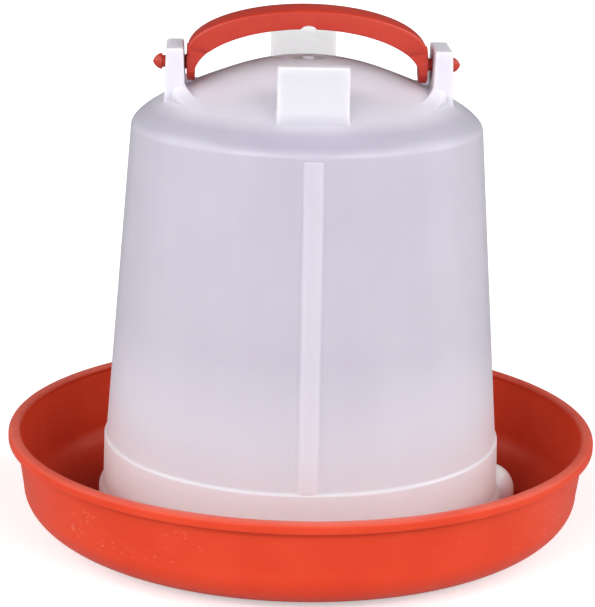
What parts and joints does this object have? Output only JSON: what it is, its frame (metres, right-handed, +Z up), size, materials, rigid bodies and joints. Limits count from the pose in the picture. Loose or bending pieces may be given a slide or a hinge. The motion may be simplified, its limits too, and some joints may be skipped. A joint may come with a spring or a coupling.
{
  "type": "poultry waterer",
  "caption": "Vacuum poultry drinker: a milky bell-shaped water fount twist-locked on a round red drinking tray, with an arched carry handle that swings in two lugs.",
  "frame": {"origin": "centre of the tray's underside, on the floor it stands on", "axes": "+Z up along the fount's axis, +X along the handle's pivot axis, -Y towards the front post and the strip down the fount"},
  "size_m": [0.3, 0.3, 0.2671],
  "materials": {
    "tray_plastic": "satin moulded red plastic",
    "fount_plastic": "milky translucent moulded polyethylene",
    "handle_plastic": "satin moulded red plastic"
  },
  "bodies": {
    "tray": {"drinking_tray": "tray_plastic"},
    "fount": {"fount": "fount_plastic"},
    "handle": {"carry_handle": "handle_plastic"}
  },
  "joints": [
    {"name": "fount_twist", "type": "hinge", "parent": "tray", "child": "fount", "pos_m": [0, 0, 0.01], "axis": [0, 0, 1], "range_deg": [-30, 0]},
    {"name": "handle_swing", "type": "hinge", "parent": "fount", "child": "handle", "pos_m": [0, 0, 0.2384], "axis": [1, 0, 0], "range_deg": [-48, 48]}
  ]
}
